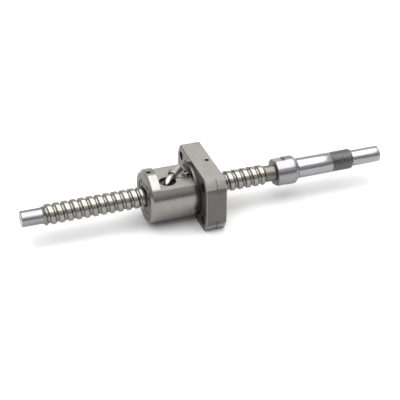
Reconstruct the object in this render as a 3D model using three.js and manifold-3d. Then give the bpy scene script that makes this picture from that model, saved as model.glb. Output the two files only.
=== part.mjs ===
// Miniature ball screw: a ground right-hand screw with finished ends, a flanged nut whose balls
// return through a bent tube on top, the balls themselves, the wiper seals and the small fasteners.
//
// Millimetres. Everything is drawn about the screw's axis, with X running from the free end (0) to
// the drive end and +Z up. The last lines move the origin to the middle of the nut's base.

import * as THREE from "three";
import { mergeVertices } from "three/addons/utils/BufferGeometryUtils.js";
import Module from "manifold-3d";

const wasm = await Module();
wasm.setup();

// ---- Driving dimensions: screw ----
const LEAD = 4; // right hand
const SCREW_RADIUS = 5;
const FREE_JOURNAL_RADIUS = 3.9;
const RELIEF_RADIUS = 4;
const COLLAR_RADIUS = 7;
const SEAT_RADIUS = 5; // bearing seat, h6
const DRIVE_RADIUS = 4;
const FINE_PITCH = 1; // locknut thread, M10 x 1
const FINE_DEPTH = 0.6;
const COLLAR_BEVEL = 1.7;
const COLLAR_FACE_RADIUS = 5.7; // of the shoulder that the bearing sits against
const WRENCH_FLATS = 12; // across the two flats on the collar
const WRENCH_TURN = THREE.MathUtils.degToRad(17); // how far the flats lean back at rest
const CHAMFER = 0.4;

// Where each length of the screw ends, from its free end.
const FREE_JOURNAL_END = 10;
const THREAD_END = 120;
const COLLAR_START = 125;
const FLATS_END = 130.5;
const COLLAR_END = 136.5;
const SEAT_END = 155;
const FINE_THREAD_END = 166;
const SCREW_LENGTH = 181;

// ---- Driving dimensions: balls and raceway ----
const BALL_RADIUS = 1;
const BALL_CIRCLE = 5.25; // radius that the ball centres run on
const RACE_RADIUS = 1.08; // clears the balls by 0.08
const RACE_MOUTH = 0.6; // how far the groove's walls run on past the ball circle
const RACE_TURNS = 2.5;
const BALLS_PER_TURN = 16;
const RETURN_BALLS = 8;
const RETURN_BALL_PITCH = 2.2;

// ---- Driving dimensions: nut ----
const NUT_START = 59.2;
const FLANGE_START = 83.2;
const FLANGE_END = 93.2;
const NUT_RADIUS = 13;
const NUT_BORE = 5.3;
const NECK_RADIUS = 12.5; // grinding relief beside the flange
const NECK_WIDTH = 1.6;
const FACE_GROOVE_RADIUS = 13.9; // relief in the seating face, round the neck
const FACE_GROOVE_DEPTH = 0.4;
const NUT_CHAMFER = 1.2;
const FLANGE_DEPTH = 42;
const FLANGE_HEIGHT = 28;
const FLANGE_ROUND = 22.5; // the corners are turned to this radius
const FLANGE_GROOVE_AT = 5.5; // a fine turned groove round the corners, from the seating face
const HOLE_CIRCLE = 18;
const HOLE_ANGLE = THREE.MathUtils.degToRad(30);
const HOLE_RADIUS = 2.25;
const COUNTERBORE_RADIUS = 4;
const COUNTERBORE_DEPTH = 4.5;
const FLAT_HEIGHT = 8; // of the tube flat, above the axis
const FLAT_START = NUT_START + 5.3;
const POCKET_RADIUS = 4; // of the round pocket over each leg of the tube
const POCKET_INSET = new THREE.Vector2(1.6, 2.15); // of its centre from the leg, towards the middle
const POCKET_FLOOR = 6.8;
const EDGE_CUT = 0.3; // chamfer of the flange's turned corners
const CORNER_GROOVE = { halfWidth: 0.25, depth: 0.35 };

// ---- Driving dimensions: return tube, clamp, seals ----
const TUBE_OUTER = 1.5;
const TUBE_INNER = 1.2;
const TUBE_HEIGHT = 8.75; // of the crossing run, above the axis
const TUBE_FOOT = 3.9; // where the legs stop, clear of the screw
const LEG_HEIGHT = 4.4; // up to here the legs are upright
const BEND_RISE = 2; // how far the bend aims on upwards, and how far back along the crossing run
const BEND_REACH = 2.3;
const RUN_HALF_LENGTH = 2.6; // of the straight part of the crossing run
const CLAMP_THICKNESS = 0.7;
const CLAMP_LENGTH = 7;
const CLAMP_ALONG = 3.1; // its middle, along the crossing run from the middle of the run
const CLAMP_EAR_RADIUS = 2.5;
const CLAMP_EAR_INSET = 0.6; // of the ear's centre from the screw's, away from the flange
const TAPPED_RADIUS = 1.1;
const TAPPED_BOTTOM = 5.9;
const CLAMP_SCREW_AT = new THREE.Vector2(FLANGE_START - 3.8, -1.5);
const SEAL_RADIUS = 8.3;
const SEAL_BORE = 5.2;
const SEAL_THICKNESS = 2.6;
const SEAL_EDGE = 0.2;
const SEAL_RECESS_RADIUS = 8.5;
const SEAL_RECESS_DEPTH = 3.2;
const SEAL_INSET = 0.3; // the seal's outer face lies this far inside the nut's end face
const SEAL_SCREW_RADIUS = 1;
const SEAL_SCREWS = [
  { name: "seal_screw_left", x: NUT_START + 2.6 },
  { name: "seal_screw_right", x: FLANGE_END - 2.6 },
];
const SEAL_SCREW_SEAT = 8; // how far down its hole goes, above the axis
const SEAL_SCREW_CENTRE = 11.4; // above the axis; 0.5 below the socket's rim
const GAP = 0.15; // running or fitting clearance on a radius

// ---- Driving dimensions: fasteners ----
const CLAMP_SCREW = { shank: 0.95, length: 2.6, head: 1.9, headHeight: 2, socket: 0.85 };
const SEAL_SCREW = { shank: SEAL_SCREW_RADIUS, length: 2.5, head: 0, headHeight: 1, socket: 0.5 };
const SEATING_GAP = 0.05; // under the clamp

const TURN = 2 * Math.PI;
const OVERLAP = 0.5; // how deep one length of the screw is sunk in the next before they are joined
const OVERRUN = 1; // how far a cut runs on past the face that it opens on
const CREST_CLEARANCE = 0.1; // how far the trimming shape stands off a thread's crests
const ROUND_FACETS = 48;
const THREAD_FACETS = 16; // facets round the two threads
const RACE_FACETS = 24; // facets round the nut's bore and raceway
const GROOVE_FACETS = 3; // facets across the round of the ball groove

// Axial place of the ball groove's centre at angle 0 (the +Y side), modulo the lead.
const GROOVE_PHASE = 2.44;
// The legs of the return tube are tangent to the ball circle: up at -Y, down again at +Y.
const ENTRY_X = 68.44;
const EXIT_X = ENTRY_X + RACE_TURNS * LEAD;
const RUN = new THREE.Vector2(EXIT_X - ENTRY_X, 2 * BALL_CIRCLE); // from leg to leg

// ---- Materials ----
const metal = (color, roughness) => new THREE.MeshStandardMaterial({ color, roughness, metalness: 1 });
const MATERIALS = {
  screw: metal(0xc3c1bc, 0.25),
  nut: metal(0x8f8a84, 0.5),
  tube: metal(0xcfcfcf, 0.2),
  clamp: metal(0x9c9a95, 0.4),
  fastener: metal(0x4a4948, 0.35),
  ball: metal(0xd8d8d8, 0.1),
  seal: new THREE.MeshStandardMaterial({ color: 0x5d5a56, roughness: 0.7, metalness: 0 }),
};

// ---- Geometry helpers ----

// A closed three.js geometry as a manifold-3d solid.
function solid(geometry) {
  const bare = (geometry.index ? geometry.toNonIndexed() : geometry.clone());
  bare.deleteAttribute("normal");
  bare.deleteAttribute("uv");
  const merged = mergeVertices(bare, 1e-4);
  return new wasm.Manifold(
    new wasm.Mesh({
      numProp: 3,
      vertProperties: new Float32Array(merged.attributes.position.array),
      triVerts: new Uint32Array(merged.index.array),
    }),
  );
}

// The surface of a manifold-3d solid as a three.js geometry.
function surface(shape) {
  const { vertProperties, triVerts } = shape.getMesh();
  const geometry = new THREE.BufferGeometry();
  geometry.setAttribute("position", new THREE.BufferAttribute(vertProperties, 3));
  geometry.setIndex(new THREE.BufferAttribute(triVerts, 1));
  geometry.computeVertexNormals();
  return geometry;
}

// A shape turned about the X axis, from [x, radius] points in order of x that start and end on it.
function turned(profile, facets = ROUND_FACETS) {
  const points = profile.map(([x, radius]) => new THREE.Vector2(radius, x));
  return solid(new THREE.LatheGeometry(points, facets).rotateZ(-Math.PI / 2));
}

const disc = (from, to, radius, facets) =>
  turned([[from, 0], [from, radius], [to, radius], [to, 0]], facets);

// The radius at which a polygon's facets, rather than its corners, touch a circle.
const outside = (radius, facets = ROUND_FACETS) => radius / Math.cos(Math.PI / facets);

const block = (width, depth, height, x, y, z) =>
  solid(new THREE.BoxGeometry(width, depth, height).translate(x, y, z));

// An upright cylinder standing on z = bottom.
function post(radius, bottom, top, x, y, facets = 20) {
  const cylinder = new THREE.CylinderGeometry(radius, radius, top - bottom, facets);
  return solid(cylinder.rotateX(Math.PI / 2).translate(x, y, (bottom + top) / 2));
}

// A bar with a right-hand thread all along it, from the points [x, radius] of one pitch. Angle 0 is
// the +Y side. It starts and ends in a cone one pitch long, which is to be trimmed off.
function threadedBar(section, pitch, phase, fromTurn, toTurn, facets) {
  const steps = (toTurn - fromTurn) * facets;
  const positions = [];
  const index = [];
  const at = new Map();
  const vertex = (i, j) => {
    const [step, point] = j < section.length ? [i, j] : [i + facets, 0];
    const key = step * section.length + point;
    if (!at.has(key)) {
      const turn = fromTurn + step / facets;
      const [x, radius] = section[point];
      at.set(key, positions.length / 3);
      positions.push(
        phase + pitch * turn + x, radius * Math.cos(turn * TURN), radius * Math.sin(turn * TURN),
      );
    }
    return at.get(key);
  };
  for (let i = 0; i < steps; i++) {
    for (let j = 0; j < section.length; j++) {
      index.push(vertex(i, j), vertex(i + 1, j), vertex(i, j + 1));
      index.push(vertex(i + 1, j), vertex(i + 1, j + 1), vertex(i, j + 1));
    }
  }
  const first = positions.length / 3;
  const last = first + 1;
  positions.push(phase + pitch * fromTurn, 0, 0, phase + pitch * (toTurn + 1), 0, 0);
  for (let i = 0; i < facets; i++) {
    index.push(first, vertex(i + 1, 0), vertex(i, 0));
    index.push(last, vertex(steps + i, 0), vertex(steps + i + 1, 0));
  }
  for (let j = 0; j < section.length; j++) {
    index.push(first, vertex(0, j), vertex(0, j + 1));
    index.push(last, vertex(steps, j + 1), vertex(steps, j));
  }
  return indexed(positions, index);
}

function indexed(positions, index) {
  const geometry = new THREE.BufferGeometry();
  geometry.setAttribute("position", new THREE.Float32BufferAttribute(positions, 3));
  geometry.setIndex(index);
  return solid(geometry);
}

// A closed [x, radius] section swept round the X axis along a right-hand helix, with flat ends.
// Angle 0 is the +Y side, and the section's own x is measured from the helix.
function helicalSweep(section, pitch, phase, fromAngle, toAngle, facets) {
  const steps = Math.round(((toAngle - fromAngle) / TURN) * facets);
  const count = section.length;
  const positions = [];
  for (let i = 0; i <= steps; i++) {
    const angle = fromAngle + ((toAngle - fromAngle) * i) / steps;
    for (const [x, radius] of section) {
      const along = phase + (pitch * angle) / TURN + x;
      positions.push(along, radius * Math.cos(angle), radius * Math.sin(angle));
    }
  }
  const index = [];
  for (let i = 0; i < steps; i++) {
    for (let j = 0; j < count; j++) {
      const a = i * count + j;
      const b = i * count + ((j + 1) % count);
      index.push(a, b, a + count, b, b + count, a + count);
    }
  }
  const last = steps * count;
  for (let j = 1; j < count - 1; j++) {
    index.push(0, j + 1, j, last, last + j, last + j + 1);
  }
  return indexed(positions, index);
}

// The ball groove's section: its round bottom on one side of the ball circle (-1 towards the axis)
// and its open mouth on the other. Its facets, rather than its corners, touch the round.
function grooveSection(side) {
  const radius = outside(RACE_RADIUS, 2 * GROOVE_FACETS);
  const points = [];
  for (let i = 0; i <= GROOVE_FACETS; i++) {
    const angle = Math.PI * (i / GROOVE_FACETS) - Math.PI / 2;
    points.push([radius * Math.sin(angle), BALL_CIRCLE + side * radius * Math.cos(angle)]);
  }
  points.push([radius, BALL_CIRCLE - side * RACE_MOUTH], [-radius, BALL_CIRCLE - side * RACE_MOUTH]);
  return side > 0 ? points.reverse() : points;
}

// ---- Screw ----

// The ball thread, with chamfered ends: a land and the facets of the groove in every pitch.
function makeThread() {
  const [wall, ...round] = grooveSection(-1).slice(0, GROOVE_FACETS);
  const [x, radius] = round[0];
  const edge = THREE.MathUtils.mapLinear(SCREW_RADIUS, radius, wall[1], x, wall[0]);
  const section = [[edge, SCREW_RADIUS], ...round, [-edge, SCREW_RADIUS]];
  const before = Math.floor((FREE_JOURNAL_END - GROOVE_PHASE) / LEAD) - 1;
  const after = Math.ceil((THREAD_END - GROOVE_PHASE) / LEAD) + 1;
  return threadedBar(section, LEAD, GROOVE_PHASE, before, after, THREAD_FACETS)
    .intersect(trimmed(FREE_JOURNAL_END, FREE_JOURNAL_RADIUS, THREAD_END, RELIEF_RADIUS));
}

// What is left of a threaded bar between its two end faces, whose edges are chamfered.
function trimmed(from, fromRadius, to, toRadius) {
  const over = SCREW_RADIUS + CREST_CLEARANCE;
  return turned([
    [from, 0], [from, fromRadius], [from + over - fromRadius, over],
    [to - over + toRadius, over], [to, toRadius], [to, 0],
  ], THREAD_FACETS);
}

function makeScrew() {
  const freeEnd = turned([
    [0, 0], [0, FREE_JOURNAL_RADIUS - CHAMFER], [CHAMFER, FREE_JOURNAL_RADIUS],
    [FREE_JOURNAL_END, FREE_JOURNAL_RADIUS], [FREE_JOURNAL_END + OVERLAP, 0],
  ], 32);
  const driveEnd = turned([
    [THREAD_END - OVERLAP, 0], [THREAD_END, RELIEF_RADIUS],
    [COLLAR_START, RELIEF_RADIUS], [COLLAR_START, COLLAR_RADIUS - CHAMFER],
    [COLLAR_START + CHAMFER, COLLAR_RADIUS], [COLLAR_END - COLLAR_BEVEL, COLLAR_RADIUS],
    [COLLAR_END, COLLAR_FACE_RADIUS], [COLLAR_END, SEAT_RADIUS],
    [SEAT_END, SEAT_RADIUS], [SEAT_END, DRIVE_RADIUS],
    [SCREW_LENGTH - CHAMFER, DRIVE_RADIUS], [SCREW_LENGTH, DRIVE_RADIUS - CHAMFER],
    [SCREW_LENGTH, 0],
  ], 32);
  return wasm.Manifold.union([
    freeEnd, makeThread(), driveEnd.subtract(wrenchFlats()), makeFineThread(),
  ]);
}

// Everything outside the two wrench flats, over the flats' own length.
function wrenchFlats() {
  const length = FLATS_END - COLLAR_START + OVERRUN;
  const cuts = [1, -1].map((side) => {
    const box = new THREE.BoxGeometry(length, 3 * COLLAR_RADIUS, COLLAR_RADIUS);
    box.translate(FLATS_END - length / 2, 0, (side * (WRENCH_FLATS + COLLAR_RADIUS)) / 2);
    return solid(box.rotateX(-WRENCH_TURN));
  });
  return cuts[0].add(cuts[1]);
}

// The locknut thread, with a runout before it and a chamfer after it.
function makeFineThread() {
  const turns = Math.ceil((FINE_THREAD_END - SEAT_END) / FINE_PITCH) + 1;
  const section = [[0, SCREW_RADIUS - FINE_DEPTH], [FINE_PITCH / 2, SCREW_RADIUS]];
  const bar = threadedBar(section, FINE_PITCH, SEAT_END, -2, turns, THREAD_FACETS);
  const root = SCREW_RADIUS - FINE_DEPTH;
  return bar.intersect(trimmed(SEAT_END - OVERLAP, root, FINE_THREAD_END, root));
}

// ---- Nut ----

function makeFlange() {
  const groove = FLANGE_START + FLANGE_GROOVE_AT;
  const { halfWidth, depth } = CORNER_GROOVE;
  const blank = turned([
    [FLANGE_START, 0], [FLANGE_START, FLANGE_ROUND - EDGE_CUT],
    [FLANGE_START + EDGE_CUT, FLANGE_ROUND], [groove - halfWidth, FLANGE_ROUND],
    [groove, FLANGE_ROUND - depth], [groove + halfWidth, FLANGE_ROUND],
    [FLANGE_END - EDGE_CUT, FLANGE_ROUND], [FLANGE_END, FLANGE_ROUND - EDGE_CUT], [FLANGE_END, 0],
  ], 96);
  const middle = (FLANGE_START + FLANGE_END) / 2;
  const thickness = FLANGE_END - FLANGE_START;
  return blank
    .intersect(block(thickness + 2 * OVERRUN, FLANGE_DEPTH, FLANGE_HEIGHT, middle, 0, 0))
    .subtract(disc(FLANGE_START - OVERRUN, FLANGE_START + FACE_GROOVE_DEPTH, FACE_GROOVE_RADIUS, 64));
}

// One through hole and its counterbore, which opens on the far face, in each corner of the flange.
function mountingHoles() {
  const holes = [];
  for (const side of [1, -1]) {
    for (const level of [1, -1]) {
      const y = side * HOLE_CIRCLE * Math.cos(HOLE_ANGLE);
      const z = level * HOLE_CIRCLE * Math.sin(HOLE_ANGLE);
      const step = FLANGE_END - COUNTERBORE_DEPTH;
      const cut = turned([
        [FLANGE_START - OVERRUN, 0], [FLANGE_START - OVERRUN, HOLE_RADIUS], [step, HOLE_RADIUS],
        [step, COUNTERBORE_RADIUS], [FLANGE_END + OVERRUN, COUNTERBORE_RADIUS], [FLANGE_END + OVERRUN, 0],
      ], 24);
      holes.push(cut.translate([0, y, z]));
    }
  }
  return wasm.Manifold.union(holes);
}

// Where the return tube lies: a round pocket over each leg, a way down for the leg, and the tube's
// own channel from one pocket to the other.
function tubePocket() {
  const end = new THREE.Vector2(RUN.x / 2 - POCKET_INSET.x, RUN.y / 2 - POCKET_INSET.y);
  const middle = (ENTRY_X + EXIT_X) / 2;
  const top = NUT_RADIUS + OVERRUN;
  const rounds = [1, -1].map((side) =>
    post(POCKET_RADIUS, POCKET_FLOOR, top, middle + side * end.x, side * end.y, 24));
  const legs = [[ENTRY_X, -BALL_CIRCLE], [EXIT_X, BALL_CIRCLE]].map(([x, y]) =>
    post(TUBE_OUTER + GAP, -OVERRUN, LEG_HEIGHT + OVERRUN, x, y, 16));
  const way = sweptRound(TUBE_OUTER + GAP, returnLine(LEG_HEIGHT - OVERRUN), 24);
  return wasm.Manifold.union([...rounds, ...legs, way]);
}

// Recesses for the two seals, and the radial holes of the screws that hold them.
function sealSeats() {
  const radius = outside(SEAL_RECESS_RADIUS);
  return wasm.Manifold.union([
    disc(NUT_START - OVERRUN, NUT_START + SEAL_RECESS_DEPTH, radius),
    disc(FLANGE_END - SEAL_RECESS_DEPTH, FLANGE_END + OVERRUN, radius),
    ...SEAL_SCREWS.map(({ x }) =>
      post(SEAL_SCREW_RADIUS + GAP, SEAL_SCREW_SEAT, FLANGE_HEIGHT, x, 0, 16)),
  ]);
}

function makeNut() {
  const barrel = turned([
    [NUT_START, 0], [NUT_START, NUT_RADIUS - NUT_CHAMFER], [NUT_START + NUT_CHAMFER, NUT_RADIUS],
    [FLANGE_START - NECK_WIDTH, NUT_RADIUS], [FLANGE_START - NECK_WIDTH, NECK_RADIUS],
    [FLANGE_START + OVERLAP, NECK_RADIUS], [FLANGE_START + OVERLAP, 0],
  ], 64);
  const flatLength = FLANGE_START - NECK_WIDTH - FLAT_START;
  const flat = block(
    flatLength, 3 * NUT_RADIUS, NUT_RADIUS, FLAT_START + flatLength / 2, 0, FLAT_HEIGHT + NUT_RADIUS / 2,
  );
  const bore = disc(
    NUT_START - OVERRUN, FLANGE_END + OVERRUN, outside(NUT_BORE, RACE_FACETS), RACE_FACETS,
  );
  const race = helicalSweep(
    grooveSection(1), LEAD, ENTRY_X - LEAD / 2, Math.PI, Math.PI + RACE_TURNS * TURN, RACE_FACETS,
  );
  const tapped = post(TAPPED_RADIUS, TAPPED_BOTTOM, NUT_RADIUS, CLAMP_SCREW_AT.x, CLAMP_SCREW_AT.y, 12);
  return barrel.subtract(flat).add(makeFlange()).subtract(
    wasm.Manifold.union([bore, race, tubePocket(), tapped, mountingHoles(), sealSeats()]),
  );
}

// ---- Ball return ----

// A point over the line from leg to leg, measured along it from its middle.
function overRun(along, height) {
  const { x, y } = RUN.clone().setLength(along);
  return new THREE.Vector3((ENTRY_X + EXIT_X) / 2 + x, y, height);
}

// The line that the balls follow over the nut: up one leg, across, and down the other.
function returnLine(foot) {
  const half = RUN.length() / 2;
  const bend = (side) => [
    overRun(side * half, LEG_HEIGHT),
    overRun(side * half, LEG_HEIGHT + BEND_RISE),
    overRun(side * (RUN_HALF_LENGTH + BEND_REACH), TUBE_HEIGHT),
    overRun(side * RUN_HALF_LENGTH, TUBE_HEIGHT),
  ];
  const up = bend(-1);
  const down = bend(1).reverse();
  const line = new THREE.CurvePath();
  line.add(new THREE.LineCurve3(overRun(-half, foot), up[0]));
  line.add(new THREE.CubicBezierCurve3(...up));
  line.add(new THREE.LineCurve3(up[3], down[0]));
  line.add(new THREE.CubicBezierCurve3(...down));
  line.add(new THREE.LineCurve3(down[3], overRun(half, foot)));
  return line;
}

function sweptRound(radius, line, steps, facets = 8) {
  const circle = new THREE.Shape(new THREE.EllipseCurve(0, 0, radius, radius).getPoints(facets));
  return solid(new THREE.ExtrudeGeometry(circle, { steps, extrudePath: line }));
}

const makeTube = () =>
  sweptRound(TUBE_OUTER, returnLine(TUBE_FOOT), 22)
    .subtract(sweptRound(TUBE_INNER, returnLine(TUBE_FOOT - OVERRUN), 24));

// An open saddle over the tube's second half, and an ear that is screwed down beside it.
function makeClamp() {
  const inner = TUBE_OUTER + GAP;
  const outer = inner + CLAMP_THICKNESS;
  const bottom = FLAT_HEIGHT + SEATING_GAP;
  const spring = TUBE_HEIGHT - bottom;
  const arch = new THREE.Shape();
  arch.moveTo(inner, 0);
  arch.lineTo(outer, 0);
  arch.lineTo(outer, spring);
  arch.absarc(0, spring, outer, 0, Math.PI);
  arch.lineTo(-outer, 0);
  arch.lineTo(-inner, 0);
  arch.lineTo(-inner, spring);
  arch.absarc(0, spring, inner, Math.PI, 0, true);
  arch.closePath();
  const middle = overRun(CLAMP_ALONG, bottom);
  const saddle = new THREE.ExtrudeGeometry(arch, {
    depth: CLAMP_LENGTH, bevelEnabled: false, curveSegments: 8,
  });
  saddle.translate(0, 0, -CLAMP_LENGTH / 2).rotateX(Math.PI / 2).rotateZ(RUN.angle() + Math.PI / 2);
  saddle.translate(middle.x, middle.y, bottom);
  const top = bottom + CLAMP_THICKNESS;
  const earX = CLAMP_SCREW_AT.x - CLAMP_EAR_INSET;
  const ear = post(CLAMP_EAR_RADIUS, bottom, top, earX, CLAMP_SCREW_AT.y, 24);
  const crossing = (ENTRY_X + EXIT_X) / 2;
  const beside = new THREE.Vector2(earX - crossing, CLAMP_SCREW_AT.y);
  beside.rotateAround(new THREE.Vector2(), -RUN.angle());
  const web = new THREE.BoxGeometry(2 * CLAMP_EAR_RADIUS, -beside.y - inner, CLAMP_THICKNESS);
  web.translate(beside.x, (beside.y - inner) / 2, 0).rotateZ(RUN.angle());
  web.translate(crossing, 0, (bottom + top) / 2);
  const drilled = post(TAPPED_RADIUS + GAP, 0, NUT_RADIUS, CLAMP_SCREW_AT.x, CLAMP_SCREW_AT.y, 16);
  return solid(saddle).add(solid(web)).add(ear).subtract(drilled)
    .trimByPlane([-1, 0, 0], -(FLANGE_START - NECK_WIDTH - GAP));
}

// A hexagon socket screw on the Z axis, with its head on z = 0, or without a head.
function socketScrew({ shank, length, head, headHeight, socket }) {
  if (head === 0) {
    return post(shank, -length, headHeight / 2, 0, 0, 16)
      .subtract(post(socket, -headHeight / 2, headHeight, 0, 0, 6));
  }
  return post(shank, -length, headHeight / 2, 0, 0, 16)
    .add(post(head, 0, headHeight, 0, 0, 24))
    .subtract(post(socket, headHeight / 2, headHeight + OVERRUN, 0, 0, 6));
}

function makeSeal(from) {
  const to = from + SEAL_THICKNESS;
  return turned([
    [from, SEAL_BORE], [from, SEAL_RADIUS - SEAL_EDGE], [from + SEAL_EDGE, SEAL_RADIUS],
    [to, SEAL_RADIUS], [to, SEAL_BORE], [from, SEAL_BORE],
  ], 32);
}

// ---- Assembly ----

const assembly = new THREE.Group();
assembly.position.set(-SCREW_LENGTH / 2, 0, FLANGE_HEIGHT / 2);

function place(name, geometry, material, position) {
  const mesh = new THREE.Mesh(geometry, material);
  mesh.name = name;
  if (position) mesh.position.copy(position);
  assembly.add(mesh);
}

place("screw_shaft", surface(makeScrew()), MATERIALS.screw);
place("nut_body", surface(makeNut()), MATERIALS.nut);
place("return_tube", surface(makeTube()), MATERIALS.tube);
place("tube_clamp", surface(makeClamp()), MATERIALS.clamp);
place(
  "clamp_screw", surface(socketScrew(CLAMP_SCREW)), MATERIALS.fastener,
  new THREE.Vector3(CLAMP_SCREW_AT.x, CLAMP_SCREW_AT.y, FLAT_HEIGHT + CLAMP_THICKNESS + 2 * SEATING_GAP),
);
place("wiper_seal_left", surface(makeSeal(NUT_START + SEAL_INSET)), MATERIALS.seal);
place("wiper_seal_right", surface(makeSeal(FLANGE_END - SEAL_INSET - SEAL_THICKNESS)), MATERIALS.seal);
for (const { name, x } of SEAL_SCREWS) {
  place(
    name, surface(socketScrew(SEAL_SCREW)), MATERIALS.fastener,
    new THREE.Vector3(x, 0, SEAL_SCREW_CENTRE),
  );
}

const ball = new THREE.IcosahedronGeometry(BALL_RADIUS, 1);
const number = (i) => String(i + 1).padStart(2, "0");

// Loaded balls, spaced evenly round the raceway between the tube's two legs.
for (let i = 0; i < RACE_TURNS * BALLS_PER_TURN; i++) {
  const angle = Math.PI + (TURN * (i + 0.5)) / BALLS_PER_TURN;
  const x = ENTRY_X - LEAD / 2 + (LEAD * angle) / TURN;
  place(
    "load_ball_" + number(i), ball, MATERIALS.ball,
    new THREE.Vector3(x, BALL_CIRCLE * Math.cos(angle), BALL_CIRCLE * Math.sin(angle)),
  );
}

// Returning balls, one behind the other in the tube from its entry leg.
const way = returnLine(0);
for (let i = 0; i < RETURN_BALLS; i++) {
  place(
    "return_ball_" + number(i), ball, MATERIALS.ball,
    way.getPointAt((RETURN_BALL_PITCH * (i + 1)) / way.getLength()),
  );
}

export default assembly;
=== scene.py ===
import math

import bmesh
import bpy
import numpy as np
from mathutils import Matrix, Vector


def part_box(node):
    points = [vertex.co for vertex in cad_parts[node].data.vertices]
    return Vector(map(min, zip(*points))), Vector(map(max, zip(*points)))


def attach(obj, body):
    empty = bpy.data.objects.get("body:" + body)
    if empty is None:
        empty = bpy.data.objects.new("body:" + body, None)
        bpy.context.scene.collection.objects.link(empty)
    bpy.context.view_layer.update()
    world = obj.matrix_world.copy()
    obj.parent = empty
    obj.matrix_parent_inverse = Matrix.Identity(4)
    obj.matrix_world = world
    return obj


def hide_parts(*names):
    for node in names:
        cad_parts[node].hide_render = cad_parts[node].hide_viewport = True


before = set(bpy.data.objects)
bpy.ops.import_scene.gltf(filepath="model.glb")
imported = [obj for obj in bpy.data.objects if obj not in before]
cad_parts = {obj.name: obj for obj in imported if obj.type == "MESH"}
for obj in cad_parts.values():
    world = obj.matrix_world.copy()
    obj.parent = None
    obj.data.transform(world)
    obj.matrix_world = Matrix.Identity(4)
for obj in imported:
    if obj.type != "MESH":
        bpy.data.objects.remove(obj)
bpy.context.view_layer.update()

# ---------------------------------------------------------------- sizes, in millimetres
# Lengths run along the screw from its free end, and heights are above its axis.
LEAD = 4.0
SCREW_RADIUS = 5.0
GROOVE_PHASE = 2.44
BALL_RADIUS = 1.0
BALL_CIRCLE = 5.25
THREAD_START, THREAD_END = 10.0, 120.0
COLLAR_START, FLATS_END, COLLAR_END = 125.0, 130.5, 136.5
SEAT_END, FINE_END, SCREW_END = 155.0, 166.0, 181.0
FINE_PITCH, FINE_DEPTH = 1.0, 0.62
COLLAR_RADIUS = 7.0
HALF_FLATS = 6.0
FLATS_TURN = math.radians(17)
FLATS_FACING = (math.pi / 2 - FLATS_TURN, -math.pi / 2 - FLATS_TURN)

NUT_START, FLANGE_START, FLANGE_END = 59.2, 83.2, 93.2
NUT_RADIUS = 13.0
NECK_RADIUS = 12.5
FLANGE_RADIUS = 22.5
NUT_BORE = 5.35
SEAL_SEAT = 8.5
RACE_RADIUS, RACE_TURNS = 1.06, 2.5
BOLT_ACROSS, BOLT_UP = 15.588, 9.0
BOLT_RADIUS, COUNTERBORE_RADIUS = 2.25, 4.0
LEG_TOOL_RADIUS = 1.65
FLAT_HEIGHT = 8.0
FLAT_START, FLAT_END = 64.5, 81.6
ENTRY = (68.44, -BALL_CIRCLE)
EXIT = (78.44, BALL_CIRCLE)
TUBE_HEIGHT = 8.75
LEG_HEIGHT = 4.4
HALF_STRAIGHT = 2.6
TUBE_OUTER, TUBE_INNER = 1.48, 1.22
POCKET_FLOOR = 6.8
POCKET_RADIUS = 4.0
POCKET_INSET = (1.6, 2.15)
SEAL_DIMPLES = 10
SEAL_DIMPLE_CIRCLE = 6.95
SEAL_DIMPLE_RADIUS = 0.55
SEAL_DIMPLE_DEPTH = 0.5
CLAMP_SCREW = (79.4, -1.5)
CLAMP_ALONG, CLAMP_LENGTH = 3.1, 7.0
SEAL_SCREWS = {"seal_screw_left": 61.8, "seal_screw_right": 90.6}

TURN = 2 * math.pi
MM = 0.001

low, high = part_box("screw_shaft")
ORIGIN = np.array([low.x, (low.y + high.y) / 2, (low.z + high.z) / 2])


# ---------------------------------------------------------------- meshes
def to_row(points):
    """Points in mm about the screw's axis, as metres in the row's frame."""
    return ORIGIN + np.asarray(points, dtype=float) * MM


def build(name, points, faces, slots=None, sharp=32):
    """A mesh object from points in mm. slots holds one material number per face."""
    mesh = bpy.data.meshes.new(name)
    mesh.from_pydata([tuple(p) for p in to_row(points)], [], faces)
    if slots is not None:
        for _ in range(max(slots) + 1):
            mesh.materials.append(None)
        mesh.polygons.foreach_set("material_index", slots)
    piece = bpy.data.objects.new(name, mesh)
    bpy.context.scene.collection.objects.link(piece)
    tidy(piece, sharp)
    return piece


def tidy(piece, sharp=32, merge=False):
    """Welds points, drops empty faces, and shades smooth apart from edges sharper than the angle.
    Faces that lie in one plane are made one when merge is set."""
    bm = bmesh.new()
    bm.from_mesh(piece.data)
    bmesh.ops.remove_doubles(bm, verts=bm.verts, dist=2e-6 if merge else 2e-7)
    bmesh.ops.dissolve_degenerate(bm, edges=bm.edges, dist=2e-6 if merge else 2e-7)
    if merge:
        bmesh.ops.dissolve_limit(bm, angle_limit=math.radians(0.4), use_dissolve_boundaries=False,
                                 verts=bm.verts, edges=bm.edges)
    bmesh.ops.recalc_face_normals(bm, faces=bm.faces)
    for face in bm.faces:
        face.smooth = True
    for edge in bm.edges:
        if len(edge.link_faces) == 2:
            edge.smooth = edge.calc_face_angle() < math.radians(sharp)
    bm.to_mesh(piece.data)
    bm.free()


def grid_faces(rows, columns, closed=True):
    """Quads over rows of points, each row a ring when closed."""
    faces = []
    for i in range(rows - 1):
        for j in range(columns if closed else columns - 1):
            k = (j + 1) % columns
            near, far = i * columns, (i + 1) * columns
            faces.append((near + j, near + k, far + k, far + j))
    return faces


def ring_points(x, radius, angles, centre=(0, 0)):
    radius = np.broadcast_to(radius, angles.shape)
    return np.stack([
        np.broadcast_to(x, angles.shape),
        centre[0] + radius * np.cos(angles),
        centre[1] + radius * np.sin(angles),
    ], axis=1)


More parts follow.
